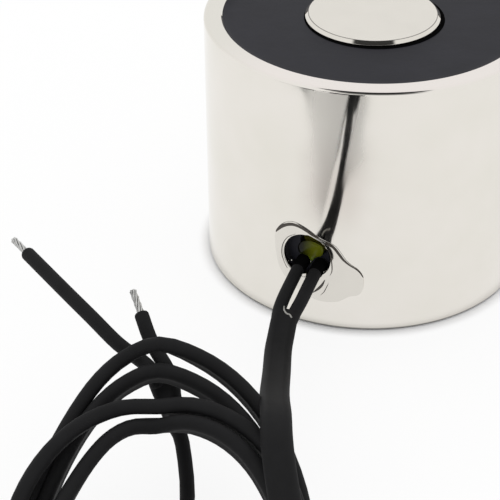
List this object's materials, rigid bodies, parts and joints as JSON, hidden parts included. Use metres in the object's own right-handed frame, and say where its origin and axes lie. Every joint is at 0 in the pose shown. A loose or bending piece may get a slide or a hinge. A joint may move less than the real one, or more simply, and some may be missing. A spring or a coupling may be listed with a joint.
{
  "type": "holding electromagnet",
  "caption": "Round nickel-plated pot electromagnet with a central pole, potted winding, tapped back and a black twin cord that leaves through its side.",
  "frame": {"origin": "centre of the back face, at the mouth of the tapped hole", "axes": "+Z along the magnet's axis to the holding face, the cable hole looks along -Y"},
  "size_m": [0.0294, 0.0657, 0.02],
  "materials": {
    "nickel_plate": "bright nickel plating on turned steel, mirror-like and faintly warm",
    "nickel_pole": "nickel plating on a ground steel face, satin",
    "paper": "pressed insulating paper",
    "nylon": "natural moulded nylon",
    "magnet_wire": "enamelled copper wire",
    "tape": "yellow polyester winding tape",
    "tin": "tinned copper",
    "sleeve": "shrunk black polyolefin sleeve",
    "potting": "cast black epoxy, satin",
    "clear_resin": "clear cured resin film on nickel, glossy",
    "cord_pvc": "extruded black PVC, satin"
  },
  "bodies": {
    "root": {"steel_cup": "nickel_plate", "pole_core": "nickel_pole", "paper_washer": "paper", "bobbin": "nylon", "coil_winding": "magnet_wire", "coil_tape": "tape", "solder_joint_left": "tin", "solder_joint_right": "tin", "joint_sleeve_left": "sleeve", "joint_sleeve_right": "sleeve", "lead_tape": "tape", "potting_resin": "potting", "resin_spill": "clear_resin", "lead_left": "cord_pvc", "lead_right": "cord_pvc", "cord_run": "cord_pvc", "cord_coil": "cord_pvc", "cord_tail": "cord_pvc", "tail_lead_long": "cord_pvc", "tail_lead_short": "cord_pvc", "tail_tip_long": "tin", "tail_tip_short": "tin"}
  },
  "joints": []
}
